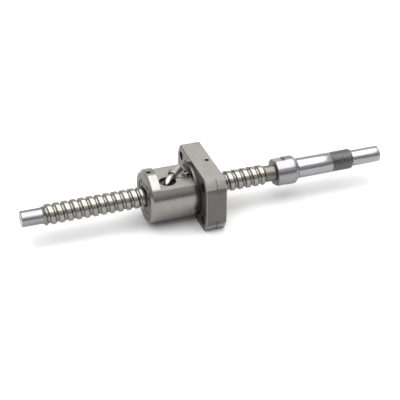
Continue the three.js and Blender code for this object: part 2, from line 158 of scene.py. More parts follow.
def revolve(name, profile, steps=160, sharp=32, centre=(0, 0)):
    """A body turned about the X axis from [x, radius] points. A closed profile, whose last point is
    its first, makes a ring."""
    angles = np.arange(steps) * TURN / steps
    points = np.concatenate([ring_points(x, r, angles, centre) for x, r in profile])
    faces = grid_faces(len(profile), steps)
    return build(name, points, faces, sharp=sharp)


def prism(name, outline, axis, start, end, sharp=32):
    """A closed outline drawn across an axis (0, 1 or 2) and carried along it."""
    outline = np.asarray(outline, dtype=float)
    others = [i for i in range(3) if i != axis]
    points = np.zeros((2 * len(outline), 3))
    points[: len(outline), axis] = start
    points[len(outline):, axis] = end
    points[:, others] = np.concatenate([outline, outline])
    faces = grid_faces(2, len(outline))
    faces += [tuple(range(len(outline))), tuple(range(len(outline), 2 * len(outline)))]
    return build(name, points, faces, sharp=sharp)


def chamfered(half_a, half_b, centre_a, centre_b, cut):
    """The outline of a rectangle whose corners are cut off at 45 degrees."""
    outline = []
    for a, b, first in ((1, 1, 0), (-1, 1, 1), (-1, -1, 0), (1, -1, 1)):
        ends = [(a * half_a, b * (half_b - cut)), (a * (half_a - cut), b * half_b)]
        for u, v in reversed(ends) if first else ends:
            outline.append((centre_a + u, centre_b + v))
    return outline


def upright(name, profile, x, y, steps=48):
    """A body turned about a vertical line from [height, radius] points."""
    angles = np.arange(steps) * TURN / steps
    rings = []
    for height, radius in profile:
        ring = np.zeros((steps, 3))
        ring[:, 0] = x + radius * np.cos(angles)
        ring[:, 1] = y + radius * np.sin(angles)
        ring[:, 2] = height
        rings.append(ring)
    return build(name, np.concatenate(rings), grid_faces(len(profile), steps))


def combine(piece, tool, operation):
    """Boolean with a tool, which is used up."""
    modifier = piece.modifiers.new("cut", "BOOLEAN")
    modifier.operation = operation
    modifier.object = tool
    modifier.solver = "MANIFOLD"
    bpy.context.view_layer.update()
    evaluated = piece.evaluated_get(bpy.context.evaluated_depsgraph_get())
    mesh = bpy.data.meshes.new_from_object(evaluated)
    piece.modifiers.clear()
    piece.data = mesh
    bpy.data.objects.remove(tool)


def sweep(points, radii, steps):
    """Rings of points round a path, one for each point of it, without twist."""
    points = np.asarray(points, dtype=float)
    along = np.gradient(points, axis=0)
    along /= np.linalg.norm(along, axis=1)[:, None]
    across = np.cross(along[0], [1.0, 0.3, 0.1])
    rings = []
    angles = np.arange(steps) * TURN / steps
    for point, forward, radius in zip(points, along, radii):
        across = across - forward * across.dot(forward)
        across /= np.linalg.norm(across)
        side = np.cross(forward, across)
        ring = np.cos(angles)[:, None] * across + np.sin(angles)[:, None] * side
        rings.append(point + radius * ring)
    return np.concatenate(rings)


# ---------------------------------------------------------------- materials
def material(name):
    """A new material, with its node tree and its shader."""
    made = bpy.data.materials.new(name)
    made.use_nodes = True
    tree = made.node_tree
    shader = tree.nodes["Principled BSDF"]
    return made, tree, shader


class Nodes:
    """A short way to write a node tree."""

    def __init__(self, tree):
        self.tree = tree

    def add(self, kind, **settings):
        node = self.tree.nodes.new(kind)
        for key, value in settings.items():
            setattr(node, key, value)
        return node

    def link(self, source, target):
        self.tree.links.new(source, target)

    def math(self, operation, a, b=0.0, clamp=False):
        node = self.add("ShaderNodeMath", operation=operation, use_clamp=clamp)
        for socket, value in zip(node.inputs, (a, b)):
            if isinstance(value, (int, float)):
                socket.default_value = value
            else:
                self.link(value, socket)
        return node.outputs[0]

    def vector(self, x, y, z):
        node = self.add("ShaderNodeCombineXYZ")
        for socket, value in zip(node.inputs, (x, y, z)):
            if isinstance(value, (int, float)):
                socket.default_value = value
            else:
                self.link(value, socket)
        return node.outputs[0]

    def noise(self, vector, scale, detail=2.0, roughness=0.5):
        node = self.add("ShaderNodeTexNoise")
        self.link(vector, node.inputs["Vector"])
        node.inputs["Scale"].default_value = scale
        node.inputs["Detail"].default_value = detail
        node.inputs["Roughness"].default_value = roughness
        return node.outputs["Fac"]

    def ramp(self, factor, stops):
        node = self.add("ShaderNodeValToRGB")
        self.link(factor, node.inputs["Fac"])
        elements = node.color_ramp.elements
        while len(elements) < len(stops):
            elements.new(0.5)
        for element, (place, colour) in zip(elements, stops):
            element.position = place
            element.color = (*colour, 1.0) if isinstance(colour, tuple) else (colour,) * 3 + (1.0,)
        return node.outputs["Color"]

    def span(self, factor, low, high):
        node = self.add("ShaderNodeMapRange")
        self.link(factor, node.inputs["Value"])
        node.inputs["To Min"].default_value = low
        node.inputs["To Max"].default_value = high
        return node.outputs["Result"]

    def bump(self, height, strength, distance, normal=None):
        node = self.add("ShaderNodeBump")
        node.inputs["Strength"].default_value = strength
        node.inputs["Distance"].default_value = distance
        self.link(height, node.inputs["Height"])
        if normal is not None:
            self.link(normal, node.inputs["Normal"])
        return node.outputs["Normal"]

    def place(self):
        """The point in millimetres about the screw's axis: x along it, and y and z across it."""
        coordinates = self.add("ShaderNodeTexCoord")
        split = self.add("ShaderNodeSeparateXYZ")
        self.link(coordinates.outputs["Object"], split.inputs[0])
        x = self.math("MULTIPLY", self.math("SUBTRACT", split.outputs[0], ORIGIN[0]), 1000)
        y = self.math("MULTIPLY", self.math("SUBTRACT", split.outputs[1], ORIGIN[1]), 1000)
        z = self.math("MULTIPLY", self.math("SUBTRACT", split.outputs[2], ORIGIN[2]), 1000)
        return x, y, z


def steel(name, colour, roughness, grain="turned", grain_pitch=0.05, grain_depth=0.3,
          mottle=0.06, stain=None, spread=0.08, shade_heights=None, deep=0.01):
    """A machined steel. The grain is the tool's marks: rings round the screw's axis when turned,
    straight scratches along X or Y when ground flat, and none when blasted. The pair of heights paints
    shade: darker below the first, clearing by the second. deep is the marks' full depth in mm."""
    made, tree, shader = material(name)
    n = Nodes(tree)
    x, y, z = n.place()
    here = n.vector(x, y, z)
    fine = 1 / grain_pitch
    if grain == "turned":
        radius = n.math("SQRT", n.math("ADD", n.math("MULTIPLY", y, y), n.math("MULTIPLY", z, z)))
        lines = n.vector(n.math("MULTIPLY", x, fine), n.math("MULTIPLY", radius, fine), 0.0)
    else:
        scales = {"along_x": (0.04, fine, fine), "along_y": (fine, 0.25, fine), "blast": (fine, fine, fine)}
        pairs = zip((x, y, z), scales[grain])
        lines = n.vector(*(n.math("MULTIPLY", value, scale) for value, scale in pairs))
    marks = n.noise(lines, 1.0, detail=3.0, roughness=0.6)
    cloud = n.noise(here, 0.22, detail=4.0, roughness=0.6)
    speck = n.noise(here, 2.6, detail=3.0, roughness=0.65)
    shade = n.math("ADD", n.math("MULTIPLY", cloud, 0.6), n.math("MULTIPLY", speck, 0.4))
    if grain == "along_x":
        shade = n.math("ADD", n.math("MULTIPLY", marks, 0.75), n.math("MULTIPLY", shade, 0.25))
    dark = tuple(c * (1 - 2.2 * mottle) for c in colour)
    light = tuple(min(1.0, c * (1 + 2.2 * mottle)) for c in colour)
    tint = n.ramp(shade, [(0.3, dark), (0.5, colour), (0.7, light)])
    if stain is not None:
        amount = n.noise(here, 0.45, detail=5.0, roughness=0.7)
        mix = n.add("ShaderNodeMix", data_type="RGBA")
        n.link(n.math("MULTIPLY", n.span(amount, -0.9, 1.7), 0.8, clamp=True), mix.inputs["Factor"])
        n.link(tint, mix.inputs["A"])
        mix.inputs["B"].default_value = (*stain, 1.0)
        tint = mix.outputs["Result"]
    # Painted shade: the colour is darkened below the first height and clears by the second.
    if shade_heights is not None:
        shade_factor = n.add("ShaderNodeMapRange", interpolation_type="SMOOTHSTEP")
        n.link(z, shade_factor.inputs["Value"])
        shade_factor.inputs["From Min"].default_value, shade_factor.inputs["From Max"].default_value = shade_heights
        shade_factor.inputs["To Min"].default_value = 0.12
        scaled = n.add("ShaderNodeVectorMath", operation="SCALE")
        n.link(tint, scaled.inputs[0])
        n.link(shade_factor.outputs["Result"], scaled.inputs["Scale"])
        tint = scaled.outputs["Vector"]
    n.link(tint, shader.inputs["Base Color"])
    shader.inputs["Metallic"].default_value = 1.0
    uneven = n.span(shade, roughness - spread, roughness + spread)
    rough = n.math("ADD", n.span(marks, -spread, spread), uneven)
    n.link(n.math("MAXIMUM", rough, 0.05), shader.inputs["Roughness"])
    n.link(n.bump(marks, grain_depth, deep * MM), shader.inputs["Normal"])
    return made


# ---------------------------------------------------------------- screw
def smooth_arc(centre_x, centre_r, radius, start, end, count):
    """[x, radius] points on an arc, at angles in degrees from straight in towards the axis."""
    angles = np.linspace(math.radians(start), math.radians(end), count)
    return [(centre_x + radius * math.sin(a), centre_r - radius * math.cos(a)) for a in angles]


def ball_groove():
    """One pitch of the ball thread: a gothic-arch groove of two arcs, its ground edges and a land."""
    radius, offset, edge = 1.07, 0.045, 0.07
    slope = math.degrees(math.acos((BALL_CIRCLE + 0.02 - SCREW_RADIUS + 0.5 * edge) / radius))
    crease = math.degrees(math.asin(offset / radius))
    right = smooth_arc(-offset, BALL_CIRCLE + 0.02, radius, crease, slope, 7)
    last_x = right[-1][0]
    right += [(last_x + 0.25 * edge, SCREW_RADIUS - 0.15 * edge), (last_x + edge, SCREW_RADIUS)]
    left = [(-x, r) for x, r in reversed(right)]
    return left[:-1] + right + [(LEAD / 2, SCREW_RADIUS)]


def vee_thread(pitch, radius, depth):
    """One pitch of a V thread, with its crest and its root eased."""
    return [
        (-0.5 * pitch, radius - depth), (-0.44 * pitch, radius - 0.95 * depth),
        (-0.09 * pitch, radius - 0.06 * depth), (-0.05 * pitch, radius),
        (0.05 * pitch, radius), (0.09 * pitch, radius - 0.06 * depth),
        (0.44 * pitch, radius - 0.95 * depth),
    ]


def shaft_angles(count):
    """Evenly spaced angles, with the nearest ones moved on to the edges of the wrench flats."""
    angles = np.arange(count) * TURN / count
    half = math.acos(HALF_FLATS / COLLAR_RADIUS)
    for middle in FLATS_FACING:
        for edge in (middle - half, middle + half):
            turns = (angles - edge + math.pi) % TURN - math.pi
            nearest = int(np.argmin(np.abs(turns)))
            angles[nearest] -= turns[nearest]
    return angles


def threaded(section, pitch, phase, start, end, start_radius, end_radius, angles):
    """The surface of a right-hand thread between two planes, chamfered at both ends."""
    count = len(angles)
    first = math.floor((start - phase) / pitch) - 2
    last = math.ceil((end - phase) / pitch) + 2
    places = np.array([phase + pitch * turn + x for turn in range(first, last) for x, _ in section])
    radii = np.array([r for _ in range(first, last) for _, r in section])
    along = places[:, None] + pitch * angles[None, :] / TURN
    clipped = np.clip(along, start, end)
    radius = np.minimum(radii[:, None], start_radius + (clipped - start))
    radius = np.minimum(radius, end_radius + (end - clipped))
    points = np.stack([clipped, radius * np.cos(angles), radius * np.sin(angles)], axis=2)
    faces = []
    size = len(section)
    for i in range(len(places) - 1):
        for j in range(count):
            k = (j + 1) % count
            shift = size if k == 0 else 0
            if i + 1 + shift < len(places):
                corner = np.array([
                    along[i, j], along[i + 1, j], along[i + shift, k], along[i + 1 + shift, k]])
                if corner.max() > start and corner.min() < end:
                    faces.append((i * count + j, (i + shift) * count + k,
                                  (i + 1 + shift) * count + k, (i + 1) * count + j))
    return points.reshape(-1, 3), faces


def rings(profile, angles):
    """Rings from [x, radius] points, where a radius may also be one number per angle."""
    points = np.concatenate([ring_points(x, r, angles) for x, r in profile])
    return points, grid_faces(len(profile), len(angles))


LAND, GROOVE, GROUND, RELIEF, COLLAR, FINE, END, SHADED_SHOULDER, JOURNAL = range(9)


def screw_stretches(angles):
    """The screw's surface from its free end to its drive end, as a finish and a mesh for each stretch."""
    flat = np.full(len(angles), 100.0)
    for middle in FLATS_FACING:
        facing = np.cos(angles - middle)
        flat = np.where(facing > 0.3, np.minimum(flat, HALF_FLATS / np.maximum(facing, 0.3)), flat)

    def collar(x, radius):
        return x, np.minimum(radius, flat)

    free_end = [(1.5, 0.01), (0.25, 0.75), (0.0, 1.1), (0.0, 3.5)]
    free_journal = [(0.0, 3.5), (0.08, 3.62), (0.33, 3.87), (0.45, 3.9), (5.0, 3.9), (10.0, 3.9)]
    relief = [
        (THREAD_END, 4.0), (COLLAR_START - 0.4, 4.0), (COLLAR_START - 0.1, 4.1), (COLLAR_START, 4.4)]
    shoulder = [
        (COLLAR_START, 4.4), (COLLAR_START, 5.85), collar(COLLAR_START, 6.4),
        collar(COLLAR_START + 0.45, 6.9)]
    flats = [
        collar(COLLAR_START + 0.45, 6.9), collar(COLLAR_START + 0.6, 6.98),
        collar(COLLAR_START + 0.7, COLLAR_RADIUS), collar(COLLAR_START + 3.0, COLLAR_RADIUS),
        collar(FLATS_END, COLLAR_RADIUS)]
    round_collar = [
        collar(FLATS_END, COLLAR_RADIUS), (FLATS_END, COLLAR_RADIUS), (COLLAR_END - 4.0, COLLAR_RADIUS),
        (COLLAR_END - 1.8, COLLAR_RADIUS), (COLLAR_END - 1.65, 6.95), (COLLAR_END - 0.1, 5.75),
        (COLLAR_END, 5.6), (COLLAR_END, 5.15), (COLLAR_END - 0.25, 4.85), (COLLAR_END + 0.1, 4.8),
        (COLLAR_END + 0.6, 4.98), (COLLAR_END + 0.75, SCREW_RADIUS)]
    seat = [
        (COLLAR_END + 0.75, SCREW_RADIUS), (140.0, SCREW_RADIUS), (148.0, SCREW_RADIUS),
        (SEAT_END - 0.3, SCREW_RADIUS), (SEAT_END - 0.1, 4.9), (SEAT_END, 4.4)]
    drive_journal = [
        (FINE_END, 4.0), (170.0, 4.0), (176.0, 4.0), (SCREW_END - 0.45, 4.0), (SCREW_END - 0.33, 3.97),
        (SCREW_END - 0.08, 3.72), (SCREW_END, 3.6)]
    drive_end = [
        (SCREW_END, 3.6), (SCREW_END, 1.1), (SCREW_END - 0.25, 0.75), (SCREW_END - 1.5, 0.01)]
    fine = vee_thread(FINE_PITCH, SCREW_RADIUS, FINE_DEPTH)
    return [
        (END, rings(free_end, angles)),
        (JOURNAL, rings(free_journal, angles)),
        (LAND, threaded(ball_groove(), LEAD, GROOVE_PHASE, THREAD_START, THREAD_END, 3.9, 4.0, angles)),
        (RELIEF, rings(relief, angles)),
        (SHADED_SHOULDER, rings(shoulder, angles)),
        (COLLAR, rings(flats, angles)),
        (COLLAR, rings(round_collar, angles)),
        (GROUND, rings(seat, angles)),
        (FINE, threaded(fine, FINE_PITCH, SEAT_END, SEAT_END, FINE_END, 4.4, 4.3, angles)),
        (FINE, rings([(FINE_END, 4.3), (FINE_END, 4.0)], angles)),
        (GROUND, rings(drive_journal, angles)),
        (END, rings(drive_end, angles)),
    ]


def screw_finishes():
    """The screw's finishes, in the order of LAND, GROOVE and the rest."""
    return [
        steel("screw_lands", (0.275, 0.264, 0.245), 0.22, grain_pitch=0.06, grain_depth=0.25, mottle=0.05),
        # The groove's darker colour than the lands is painted shade in the ball groove.
        steel("screw_groove_painted_shade", (0.205, 0.194, 0.178), 0.22, grain_pitch=0.05, grain_depth=0.2, mottle=0.06),
        steel("screw_ground_seats", (0.31, 0.31, 0.318), 0.2, grain="along_x", grain_pitch=0.55,
              grain_depth=1.0, mottle=0.11, deep=0.03),
        steel("screw_relief", (0.17, 0.156, 0.142), 0.36, grain_pitch=0.18, grain_depth=0.5, mottle=0.1,
              stain=(0.14, 0.115, 0.095)),
        steel("screw_collar", (0.26, 0.255, 0.26), 0.23, grain="along_x", grain_pitch=0.8,
              grain_depth=1.0, mottle=0.06, deep=0.03),
        steel("screw_fine_thread", (0.2, 0.195, 0.19), 0.32, grain_pitch=0.08, grain_depth=0.3, mottle=0.08),
        steel("screw_ends", (0.36, 0.35, 0.34), 0.34, grain_pitch=0.1, grain_depth=0.4, mottle=0.07),
        # The collar's face towards the thread is painted dark, for the shade on it.
        steel("screw_shoulder_painted_shade", (0.10, 0.10, 0.105), 0.4, grain_pitch=0.1, grain_depth=0.4, mottle=0.12),
        steel("screw_free_journal", (0.25, 0.25, 0.255), 0.22, grain="along_x", grain_pitch=0.6,
              grain_depth=1.0, mottle=0.14, deep=0.03),
    ]


def make_screw():
    angles = shaft_angles(96)
    points, faces, slots = [], [], []
    for slot, (part_points, part_faces) in screw_stretches(angles):
        base = sum(len(p) for p in points)
        points.append(part_points)
        for face in part_faces:
            faces.append(tuple(base + i for i in face))
            if slot == LAND:
                radii = np.hypot(part_points[list(face), 1], part_points[list(face), 2])
                slots.append(LAND if radii.min() > SCREW_RADIUS - 0.002 else GROOVE)
            else:
                slots.append(slot)
    base = sum(len(p) for p in points)
    points.append(np.array([[1.505, 0, 0], [SCREW_END - 1.505, 0, 0]]))
    count = len(angles)
    last_ring = base - count
    for j in range(count):
        k = (j + 1) % count
        faces += [(base, k, j), (base + 1, last_ring + j, last_ring + k)]
        slots += [END, END]
    piece = build("ground_screw", np.concatenate(points), faces, slots, sharp=28)
    for i, finish in enumerate(screw_finishes()):
        piece.data.materials[i] = finish
    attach(piece, "screw")
    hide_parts("screw_shaft")
    return piece


# ---------------------------------------------------------------- nut
def helix_tool():
    """The raceway, as the solid that is cut from the nut's bore."""
    section = smooth_arc(0, BALL_CIRCLE, -RACE_RADIUS, -90, 90, 11)
    section += [(-RACE_RADIUS, BALL_CIRCLE - 0.7), (RACE_RADIUS, BALL_CIRCLE - 0.7)]
    steps = 120
    angles = np.linspace(math.pi, math.pi + RACE_TURNS * TURN, steps + 1)
    points = []
    for angle in angles:
        along = ENTRY[0] - LEAD / 2 + LEAD * angle / TURN
        points += [(along + x, r * math.cos(angle), r * math.sin(angle)) for x, r in section]
    count = len(section)
    faces = grid_faces(steps + 1, count)
    faces += [tuple(range(count)), tuple(range(steps * count, (steps + 1) * count))]
    return build("race_tool", points, faces)


BODY, FLANGE, END_FACE, SHADED_HOLLOW, SIDE, WALL = range(6)


def nut_finish(face):
    """Which of the nut's finishes a face of it has."""
    x, y, z = (np.array(face.center) - ORIGIN) / MM
    radius = math.hypot(y, z)
    # Painted shade: the neck beside the flange, the pocket floors and leg holes, the bolt holes' bores and
    # the set screws' holes get a dark colour for the shade in them; the pocket walls keep a plain finish.
    if FLAT_END - 0.02 < x < FLANGE_START + 0.6 and radius < 14.2:
        return SHADED_HOLLOW
    if FLAT_START < x < FLAT_END and 5.8 < z < FLAT_HEIGHT - 0.01 and radius < 12.6:
        return SHADED_HOLLOW if face.normal.z > 0.5 or radius < 7.5 else WALL
    if math.hypot(abs(y) - BOLT_ACROSS, abs(z) - BOLT_UP) < 2.3 and abs(face.normal.x) < 0.5:
        return SHADED_HOLLOW
    from_screw = min(math.hypot(x - at, y) for at in SEAL_SCREWS.values())
    if z > 7.9 and abs(face.normal.z) < 0.5 and from_screw < 1.25:
        return SHADED_HOLLOW
    # Faces square to the axis, at the nut's free end and on the flange outside the neck, get a darker colour
    # as painted shade.
    if abs(face.normal.x) > 0.95 and (x < NUT_START + 0.5 or radius > 14.0):
        return END_FACE
    if x < FLANGE_START - 0.1:
        return FLANGE if face.normal.z > 0.95 and z < FLAT_HEIGHT + 0.1 else BODY
    # The flange's front and back flats get a darker copy of its steel, as painted shade.
    return SIDE if abs(face.normal.y) > 0.9 else FLANGE


def nut_barrel():
    """The round body, with the flat sawn across its top."""
    barrel = revolve("nut_with_flange", [
        (NUT_START, 0.0), (NUT_START, 11.6), (NUT_START + 0.08, 11.74), (NUT_START + 1.16, 12.84),
        (NUT_START + 1.3, 12.94), (NUT_START + 1.5, NUT_RADIUS), (64.0, NUT_RADIUS), (70.0, NUT_RADIUS),
        (76.0, NUT_RADIUS), (FLAT_END - 0.25, NUT_RADIUS), (FLAT_END - 0.1, 12.96), (FLAT_END, 12.85),
        (FLAT_END, NECK_RADIUS), (FLANGE_START - 0.15, NECK_RADIUS), (FLANGE_START + 1.0, NECK_RADIUS),
        (FLANGE_START + 1.0, 0.0)], steps=192)
    above = [(FLAT_START, FLAT_HEIGHT), (FLAT_END, FLAT_HEIGHT), (FLAT_END, 20.0), (FLAT_START, 20.0)]
    combine(barrel, prism("flat_tool", above, 1, -20.0, 20.0), "DIFFERENCE")
    return barrel


def nut_flange():
    """The flange: turned corners between four sawn flats, and a relief round the neck."""
    flange = revolve("flange", [
        (FLANGE_START, 0.0), (FLANGE_START, 22.2), (FLANGE_START + 0.3, FLANGE_RADIUS),
        (88.42, FLANGE_RADIUS), (88.5, 22.42), (88.52, 22.1), (88.88, 22.1), (88.9, 22.42),
        (88.98, FLANGE_RADIUS), (FLANGE_END - 0.3, FLANGE_RADIUS), (FLANGE_END, 22.2),
        (FLANGE_END, 0.0)], steps=256)
    middle = (FLANGE_START + FLANGE_END) / 2
    top_and_foot = chamfered(5.0, 14.0, middle, 0.0, 0.25)
    front_and_back = chamfered(5.0, 21.0, middle, 0.0, 0.25)
    combine(flange, prism("top_and_foot", top_and_foot, 1, -30, 30), "INTERSECT")
    combine(flange, prism("front_and_back", front_and_back, 2, -30, 30), "INTERSECT")
    combine(flange, revolve("face_groove", [
        (80.0, 0.0), (80.0, 14.05), (FLANGE_START, 14.05), (FLANGE_START + 0.15, 13.9),
        (FLANGE_START + 0.4, 13.9), (FLANGE_START + 0.4, 0.0)], steps=160),
        "DIFFERENCE")
    return flange


def cut_bore(nut):
    """The bore with a seat for a seal at each end, and the raceway."""
    combine(nut, revolve("bore", [
        (55, 0), (55, SEAL_SEAT), (NUT_START, SEAL_SEAT + 0.12), (59.4, SEAL_SEAT), (62.4, SEAL_SEAT),
        (62.4, NUT_BORE), (90.0, NUT_BORE), (90.0, SEAL_SEAT), (93.0, SEAL_SEAT),
        (FLANGE_END, SEAL_SEAT + 0.12), (97, SEAL_SEAT), (97, 0)], steps=160), "DIFFERENCE")
    combine(nut, helix_tool(), "DIFFERENCE")


def cut_bolt_holes(nut):
    """Four holes from the seating face, with counterbores in the rear face."""
    for y in (BOLT_ACROSS, -BOLT_ACROSS):
        for z in (BOLT_UP, -BOLT_UP):
            combine(nut, revolve("bolt_hole", [
                (80, 0), (80, BOLT_RADIUS), (88.7, BOLT_RADIUS), (88.7, COUNTERBORE_RADIUS),
                (92.95, COUNTERBORE_RADIUS), (FLANGE_END, COUNTERBORE_RADIUS + 0.25),
                (96, COUNTERBORE_RADIUS + 0.25), (96, 0)], steps=64, centre=(y, z)), "DIFFERENCE")


def cut_pocket(nut):
    """A round pocket over each leg of the tube, the holes for the legs, and the tube's channel."""
    for leg, toward in ((ENTRY, 1), (EXIT, -1)):
        centre = np.array(leg) + toward * np.array(POCKET_INSET)
        combine(nut, upright("pocket", [
            (POCKET_FLOOR, 0), (POCKET_FLOOR, POCKET_RADIUS), (FLAT_HEIGHT - 0.15, POCKET_RADIUS),
            (FLAT_HEIGHT, POCKET_RADIUS + 0.12), (14.0, POCKET_RADIUS + 0.12), (14.0, 0)],
            *centre, steps=96), "DIFFERENCE")
    for x, y in (ENTRY, EXIT):
        combine(nut, upright("leg_tool", [
            (-1, 0), (-1, LEG_TOOL_RADIUS), (5.4, LEG_TOOL_RADIUS), (5.4, 0)], x, y), "DIFFERENCE")
    combine(nut, bar("way_tool", return_line(3.6), LEG_TOOL_RADIUS), "DIFFERENCE")


def cut_screw_holes(nut):
    """The holes of the seals' set screws and of the clamp's screw."""
    for x in SEAL_SCREWS.values():
        top = 14.2 if x > FLANGE_START else 13.2
        surface = top - 0.2
        combine(nut, upright("screw_tool", [
            (8.0, 0), (8.0, 1.05), (surface - 0.12, 1.05), (surface, 1.2), (top, 1.2), (top, 0)], x, 0.0),
            "DIFFERENCE")
    combine(nut, upright("tapped", [(5.9, 0), (5.9, 1.05), (9, 1.05), (9, 0)], *CLAMP_SCREW, steps=32),
            "DIFFERENCE")


def nut_finishes():
    """The nut's finishes, in the order of BODY, FLANGE and the rest."""
    return [
        steel("nut_ground_steel", (0.25, 0.24, 0.225), 0.2, grain="turned", grain_pitch=0.12,
              grain_depth=0.3, mottle=0.06, spread=0.05),
        steel("nut_flange_steel", (0.30, 0.284, 0.265), 0.5, grain="blast", grain_pitch=0.12,
              grain_depth=0.35, mottle=0.06, spread=0.05),
        # Darker colour for the faces square to the axis: painted shade.
        steel("nut_end_faces_painted_shade", (0.12, 0.115, 0.108), 0.4, grain="blast", grain_pitch=0.3,
              grain_depth=0.6, mottle=0.2, spread=0.08),
        # Dark colour that paints the shade in the nut's hollows.
        steel("nut_hollows_painted_shade", (0.12, 0.11, 0.1), 0.34, grain="blast", grain_pitch=0.3,
              grain_depth=0.5, mottle=0.15, spread=0.08),
        # A darker copy of the flange's steel: painted shade on its front and back flats.
        steel("nut_flange_sides_painted_shade", (0.135, 0.128, 0.12), 0.5, grain="blast", grain_pitch=0.12,
              grain_depth=0.35, mottle=0.06, spread=0.05),
        steel("nut_pocket_walls", (0.24, 0.225, 0.21), 0.3, grain="blast", grain_pitch=0.3,
              grain_depth=0.3, mottle=0.1, spread=0.06),
    ]


def make_nut():
    barrel = nut_barrel()
    combine(barrel, nut_flange(), "UNION")
    cut_bore(barrel)
    cut_bolt_holes(barrel)
    cut_pocket(barrel)
    cut_screw_holes(barrel)
    tidy(barrel, 30, merge=True)
    weighted = barrel.modifiers.new("normals", "WEIGHTED_NORMAL")
    weighted.keep_sharp = True
    barrel.data.materials.clear()
    for finish in nut_finishes():
        barrel.data.materials.append(finish)
    for face in barrel.data.polygons:
        face.material_index = nut_finish(face)
    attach(barrel, "nut")
    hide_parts("nut_body")
    return barrel


# ---------------------------------------------------------------- ball return
def over_run(along, height):
    """A point over the line from leg to leg, measured along it from its middle."""
    run = np.array(EXIT) - ENTRY
    spot = (np.array(ENTRY) + EXIT) / 2 + along * run / np.linalg.norm(run)
    return np.array([spot[0], spot[1], height])


def return_line(foot):
    """The tube's middle line: up one leg, over and down the other."""
    half = np.linalg.norm(np.array(EXIT) - ENTRY) / 2

    def bend(side):
        a, b = over_run(side * half, LEG_HEIGHT), over_run(side * half, LEG_HEIGHT + 2.0)
        c, d = over_run(side * 4.9, TUBE_HEIGHT), over_run(side * HALF_STRAIGHT, TUBE_HEIGHT)
        return [(1 - t) ** 3 * a + 3 * (1 - t) ** 2 * t * b + 3 * (1 - t) * t * t * c + t ** 3 * d
                for t in np.linspace(0, 1, 25)]

    points = [over_run(-half, h) for h in np.linspace(foot, LEG_HEIGHT, 4)[:-1]]
    points += bend(-1)
    points += [over_run(t, TUBE_HEIGHT) for t in np.linspace(-HALF_STRAIGHT, HALF_STRAIGHT, 11)[1:-1]]
    points += bend(1)[::-1]
    points += [over_run(half, h) for h in np.linspace(LEG_HEIGHT, foot, 4)[1:]]
    return np.array(points)


def bar(name, line, radius, steps=40):
    """A solid round bar along a line of points."""
    points = sweep(line, [radius] * len(line), steps)
    faces = grid_faces(len(line), steps)
    faces += [tuple(range(steps)), tuple(range((len(line) - 1) * steps, len(line) * steps))]
    return build(name, points, faces)


def make_tube():
    line = return_line(3.9)
    steps = 40
    outer = sweep(line, [TUBE_OUTER - 0.08] + [TUBE_OUTER] * (len(line) - 2) + [TUBE_OUTER - 0.08], steps)
    inner = sweep(line, [TUBE_INNER] * len(line), steps)
    rows = len(line)
    points = np.concatenate([outer, inner])
    offset = rows * steps
    faces = grid_faces(rows, steps)
    faces += [tuple(offset + i for i in reversed(face)) for face in grid_faces(rows, steps)]
    for ring in (0, (rows - 1) * steps):
        for j in range(steps):
            k = (j + 1) % steps
            faces.append((ring + j, ring + k, offset + ring + k, offset + ring + j))
    piece = build("bent_return_tube", points, faces, sharp=40)
    # The legs are painted darker below about 8 mm, for the shade in the pocket they go down into.
    piece.data.materials.append(steel(
        "tube_bright", (0.45, 0.45, 0.44), 0.19, grain="blast", grain_pitch=0.3, grain_depth=0.1,
        mottle=0.04, shade_heights=(7.6, 8.9)))
    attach(piece, "nut")
    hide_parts("return_tube")
    return piece


def solidify(piece, thickness, bevel):
    """Gives an open sheet its thickness and rounded edges, and keeps the result as the mesh."""
    shell = piece.modifiers.new("shell", "SOLIDIFY")
    shell.thickness = thickness * MM
    shell.offset = 1.0
    shell.use_even_offset = True
    edge = piece.modifiers.new("edge", "BEVEL")
    edge.width = bevel * MM
    edge.segments = 2
    edge.limit_method = "ANGLE"
    edge.angle_limit = math.radians(50)
    bpy.context.view_layer.update()
    mesh = bpy.data.meshes.new_from_object(piece.evaluated_get(bpy.context.evaluated_depsgraph_get()))
    piece.modifiers.clear()
    piece.data = mesh
    tidy(piece, 40)


